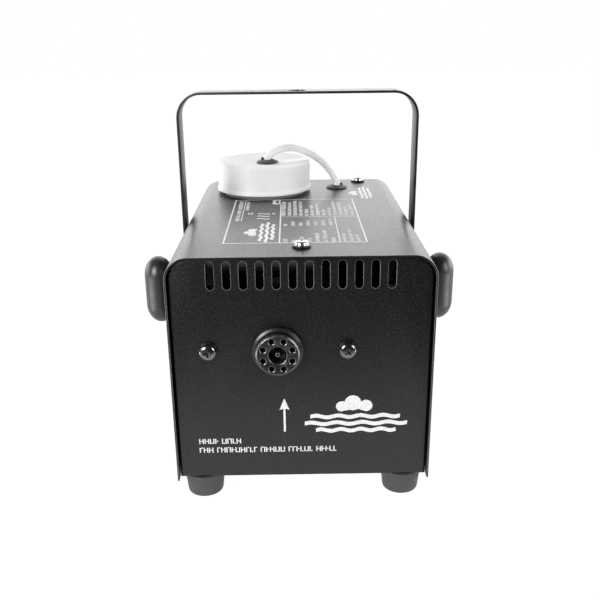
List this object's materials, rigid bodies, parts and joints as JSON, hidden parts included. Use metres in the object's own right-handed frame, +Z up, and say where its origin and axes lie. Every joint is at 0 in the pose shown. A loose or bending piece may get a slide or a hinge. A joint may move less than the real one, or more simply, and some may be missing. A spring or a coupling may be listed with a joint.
{
  "type": "fog machine",
  "caption": "Box-shaped fog machine with a front outlet nozzle, a capped fluid tank with an external hose, and a tilting mounting yoke held by knobs.",
  "frame": {"origin": "on the floor under the middle of the body, which is the middle of the whole part", "axes": "+Z up; the outlet faces -Y; +X is to the right seen from the front"},
  "size_m": [0.194, 0.206, 0.207],
  "materials": {
    "powder_coat": "fine-textured black powder coat",
    "knob_plastic": "satin black moulded plastic",
    "rubber": "matt black rubber",
    "white_polyethylene": "translucent white polyethylene",
    "clear_hose": "clear hose",
    "nickel_plate": "nickel-plated steel",
    "black_steel": "black oxide steel",
    "cast_aluminium": "as cast",
    "zinc_steel": "zinc-plated steel",
    "brass": "turned",
    "insulation_board": "pressed fibre",
    "circuit_board": "solder resist",
    "black_plastic": "moulded",
    "coil_winding": "taped copper winding"
  },
  "bodies": {
    "housing": {"chassis": "powder_coat", "cover": "powder_coat", "foot_front_left": "rubber", "foot_front_right": "rubber", "foot_rear_left": "rubber", "foot_rear_right": "rubber", "tank_pad": "rubber", "cover_grommet": "rubber", "tank": "white_polyethylene", "hose": "clear_hose", "pump_inlet_hose": "clear_hose", "pump_outlet_tube": "clear_hose", "heater_screw_left": "nickel_plate", "heater_screw_right": "nickel_plate", "heater_washer_left": "nickel_plate", "heater_washer_right": "nickel_plate", "foot_screw_front_left": "nickel_plate", "foot_screw_front_right": "nickel_plate", "foot_screw_rear_left": "nickel_plate", "foot_screw_rear_right": "nickel_plate", "cover_screw_front": "nickel_plate", "cover_screw_rear_left": "nickel_plate", "cover_screw_rear_right": "nickel_plate", "nozzle_cap": "black_steel", "heater_body": "cast_aluminium", "heater_bracket": "zinc_steel", "pump_bracket": "zinc_steel", "cartridge_heater_left": "zinc_steel", "cartridge_heater_right": "zinc_steel", "thermostat": "zinc_steel", "left_weld_nut": "zinc_steel", "right_weld_nut": "zinc_steel", "remote_socket": "zinc_steel", "nozzle_tip": "brass", "insulation": "insulation_board", "control_board": "circuit_board", "terminal_block": "circuit_board", "board_tray": "black_plastic", "relay": "black_plastic", "pump_body": "black_plastic", "mains_inlet": "black_plastic", "switch_housing": "black_plastic", "fuse_holder": "black_plastic", "pump_coil": "coil_winding"},
    "yoke": {"yoke": "powder_coat"},
    "left_clamp": {"left_washer": "nickel_plate"},
    "left_knob": {"left_knob": "knob_plastic", "left_stud": "nickel_plate"},
    "right_clamp": {"right_washer": "nickel_plate"},
    "right_knob": {"right_knob": "knob_plastic", "right_stud": "nickel_plate"},
    "cap_lifter": {"cap_seal": "rubber"},
    "cap": {"tank_cap": "white_polyethylene", "cap_grommet": "rubber", "pickup_tube": "clear_hose", "intake_filter": "black_plastic"},
    "rocker": {"switch_rocker": "black_plastic"},
    "fuse_carrier": {"fuse": "nickel_plate"},
    "fuse_cap": {"fuse_cap": "black_plastic"},
    "pump_piston": {"pump_piston": "zinc_steel"}
  },
  "joints": [
    {"name": "yoke_swing", "type": "hinge", "parent": "housing", "child": "yoke", "pos_m": [0, 0.005, 0.0865], "axis": [1, 0, 0], "range_deg": [-110, 106]},
    {"name": "left_clamp_slide", "type": "slide", "parent": "housing", "child": "left_clamp", "axis": [-1, 0, 0], "range_m": [0, 0.002]},
    {"name": "left_knob_turn", "type": "hinge", "parent": "left_clamp", "child": "left_knob", "pos_m": [0, 0.005, 0.0865], "axis": [-1, 0, 0], "range_deg": [0, 720]},
    {"name": "right_clamp_slide", "type": "slide", "parent": "housing", "child": "right_clamp", "axis": [1, 0, 0], "range_m": [0, 0.002]},
    {"name": "right_knob_turn", "type": "hinge", "parent": "right_clamp", "child": "right_knob", "pos_m": [0, 0.005, 0.0865], "axis": [1, 0, 0], "range_deg": [0, 720]},
    {"name": "cap_lift", "type": "slide", "parent": "housing", "child": "cap_lifter", "axis": [0, 0, 1], "range_m": [0, 0.14], "deforming": ["hose"]},
    {"name": "cap_turn", "type": "hinge", "parent": "cap_lifter", "child": "cap", "pos_m": [-0.0225, 0.062, 0], "axis": [0, 0, 1], "range_deg": [0, 360], "deforming": ["hose"]},
    {"name": "rocker_tilt", "type": "hinge", "parent": "housing", "child": "rocker", "pos_m": [0.053, 0.0968, 0.064], "axis": [1, 0, 0], "range_deg": [-18, 0]},
    {"name": "fuse_draw", "type": "slide", "parent": "housing", "child": "fuse_carrier", "axis": [0, 1, 0], "range_m": [0, 0.035]},
    {"name": "fuse_cap_turn", "type": "hinge", "parent": "fuse_carrier", "child": "fuse_cap", "pos_m": [0.053, 0, 0.034], "axis": [0, 1, 0], "range_deg": [0, 90]},
    {"name": "pump_stroke", "type": "slide", "parent": "housing", "child": "pump_piston", "axis": [0, 0, 1], "range_m": [0, 0.0035], "stiffness_N_per_m": 300, "springref_m": -0.002}
  ],
  "couplings": [
    {"joint": "left_knob_turn", "follows": "left_clamp_slide", "rad_per_m": 6283},
    {"joint": "right_knob_turn", "follows": "right_clamp_slide", "rad_per_m": 6283}
  ]
}
